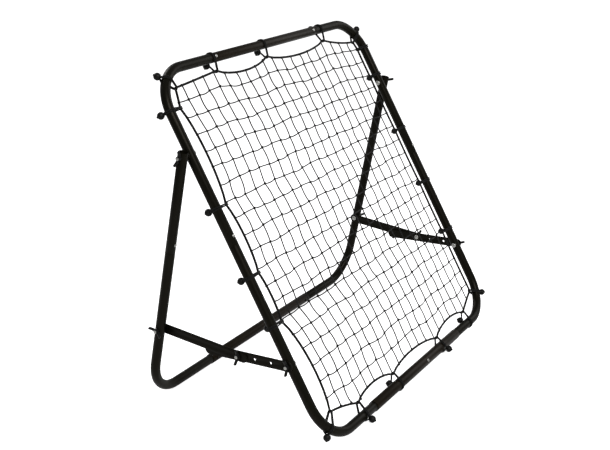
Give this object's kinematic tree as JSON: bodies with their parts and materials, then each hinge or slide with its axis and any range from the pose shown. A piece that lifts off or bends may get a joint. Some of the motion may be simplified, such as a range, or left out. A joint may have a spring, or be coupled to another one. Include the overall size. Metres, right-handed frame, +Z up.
{
  "type": "pitch back rebounder",
  "caption": "Leaning square tube frame with a net held by ball bungees, a folding rear leg and jointed flat-bar stays.",
  "frame": {"origin": "centre of the bounding box in X and Y, on the floor in Z", "axes": "+X across the frame, +Y from the net's face to the rear leg, +Z up"},
  "size_m": [1.0964, 0.5768, 0.8734],
  "materials": {
    "powder_coat": "satin black powder coat",
    "zinc": "zinc plated",
    "nut_black": "moulded, matte",
    "elastic": "braided elastic cord with a moulded ball",
    "twine": "knotted twine"
  },
  "bodies": {
    "frame": {"upper_corner_tube_left": "powder_coat", "upper_corner_tube_right": "powder_coat", "lower_corner_tube_left": "powder_coat", "lower_corner_tube_right": "powder_coat", "top_bar": "powder_coat", "bottom_bar": "powder_coat", "side_joint_screw_left": "zinc", "side_joint_screw_right": "zinc", "leg_pivot_bolt_left": "zinc", "leg_pivot_bolt_right": "zinc", "frame_stay_bolt_left": "zinc", "frame_stay_bolt_right": "zinc", "net": "twine", "border_rope": "elastic", "bungee_top_1": "elastic", "bungee_top_2": "elastic", "bungee_top_3": "elastic", "bungee_top_right": "elastic", "bungee_right_1": "elastic", "bungee_right_2": "elastic", "bungee_right_3": "elastic", "bungee_right_4": "elastic", "bungee_right_5": "elastic", "bungee_bottom_right": "elastic", "bungee_bottom_1": "elastic", "bungee_bottom_2": "elastic", "bungee_bottom_3": "elastic", "bungee_bottom_4": "elastic", "bungee_bottom_left": "elastic", "bungee_left_1": "elastic", "bungee_left_2": "elastic", "bungee_left_3": "elastic", "bungee_left_4": "elastic", "bungee_top_left": "elastic"},
    "rear_leg": {"upper_leg_tube_left": "powder_coat", "upper_leg_tube_right": "powder_coat", "lower_leg_tube_left": "powder_coat", "lower_leg_tube_right": "powder_coat", "rear_crossbar": "powder_coat", "leg_joint_screw_left": "zinc", "leg_joint_screw_right": "zinc", "crossbar_rivet_left": "powder_coat", "crossbar_rivet_right": "powder_coat", "leg_stay_bolt_left": "zinc", "leg_stay_bolt_right": "zinc"},
    "front_stay_left": {"front_stay_bar_left": "powder_coat", "elbow_bolt_left": "zinc"},
    "rear_stay_left": {"rear_stay_bar_left": "powder_coat"},
    "front_stay_right": {"front_stay_bar_right": "powder_coat", "elbow_bolt_right": "zinc"},
    "rear_stay_right": {"rear_stay_bar_right": "powder_coat"},
    "leg_pivot_nut_left": {"leg_pivot_wing_nut_left": "nut_black"},
    "leg_stay_nut_left": {"leg_stay_wing_nut_left": "nut_black"},
    "frame_stay_nut_left": {"frame_stay_wing_nut_left": "nut_black"},
    "elbow_nut_left": {"elbow_wing_nut_left": "nut_black"},
    "leg_pivot_nut_right": {"leg_pivot_wing_nut_right": "nut_black"},
    "leg_stay_nut_right": {"leg_stay_wing_nut_right": "nut_black"},
    "frame_stay_nut_right": {"frame_stay_wing_nut_right": "nut_black"},
    "elbow_nut_right": {"elbow_wing_nut_right": "nut_black"}
  },
  "joints": [
    {"name": "leg_fold", "type": "hinge", "parent": "frame", "child": "rear_leg", "pos_m": [0, 0.14548, 0.67766], "axis": [-1, 0, 0], "range_deg": [0, 32.86]},
    {"name": "front_stay_turn_left", "type": "hinge", "parent": "frame", "child": "front_stay_left", "pos_m": [-0.50282, -0.13934, 0.20364], "axis": [-1, 0, 0], "range_deg": [0, 107.77]},
    {"name": "rear_stay_turn_left", "type": "hinge", "parent": "rear_leg", "child": "rear_stay_left", "pos_m": [-0.50562, 0.22599, 0.21461], "axis": [1, 0, 0], "range_deg": [0, 76.64]},
    {"name": "front_stay_turn_right", "type": "hinge", "parent": "frame", "child": "front_stay_right", "pos_m": [0.50282, -0.13934, 0.20364], "axis": [-1, 0, 0], "range_deg": [0, 107.77]},
    {"name": "rear_stay_turn_right", "type": "hinge", "parent": "rear_leg", "child": "rear_stay_right", "pos_m": [0.50562, 0.22599, 0.21461], "axis": [1, 0, 0], "range_deg": [0, 76.64]},
    {"name": "leg_pivot_nut_left_spin", "type": "hinge", "parent": "frame", "child": "leg_pivot_nut_left", "pos_m": [-0.532, 0.14548, 0.67766], "axis": [-1, 0, 0], "continuous": true},
    {"name": "leg_stay_nut_left_spin", "type": "hinge", "parent": "rear_leg", "child": "leg_stay_nut_left", "pos_m": [-0.532, 0.22599, 0.21461], "axis": [-1, 0, 0], "continuous": true},
    {"name": "frame_stay_nut_left_spin", "type": "hinge", "parent": "frame", "child": "frame_stay_nut_left", "pos_m": [-0.50437, -0.13934, 0.20364], "axis": [-1, 0, 0], "continuous": true},
    {"name": "elbow_nut_left_spin", "type": "hinge", "parent": "rear_stay_left", "child": "elbow_nut_left", "pos_m": [-0.50717, -0.00104, 0.19579], "axis": [-1, 0, 0], "continuous": true},
    {"name": "leg_pivot_nut_right_spin", "type": "hinge", "parent": "frame", "child": "leg_pivot_nut_right", "pos_m": [0.532, 0.14548, 0.67766], "axis": [1, 0, 0], "continuous": true},
    {"name": "leg_stay_nut_right_spin", "type": "hinge", "parent": "rear_leg", "child": "leg_stay_nut_right", "pos_m": [0.532, 0.22599, 0.21461], "axis": [1, 0, 0], "continuous": true},
    {"name": "frame_stay_nut_right_spin", "type": "hinge", "parent": "frame", "child": "frame_stay_nut_right", "pos_m": [0.50437, -0.13934, 0.20364], "axis": [1, 0, 0], "continuous": true},
    {"name": "elbow_nut_right_spin", "type": "hinge", "parent": "rear_stay_right", "child": "elbow_nut_right", "pos_m": [0.50717, -0.00104, 0.19579], "axis": [1, 0, 0], "continuous": true}
  ],
  "couplings": [
    {"joint": "front_stay_turn_left", "follows": "leg_fold", "ratio": 3.2798},
    {"joint": "rear_stay_turn_left", "follows": "leg_fold", "ratio": 2.3322},
    {"joint": "front_stay_turn_right", "follows": "leg_fold", "ratio": 3.2798},
    {"joint": "rear_stay_turn_right", "follows": "leg_fold", "ratio": 2.3322}
  ]
}
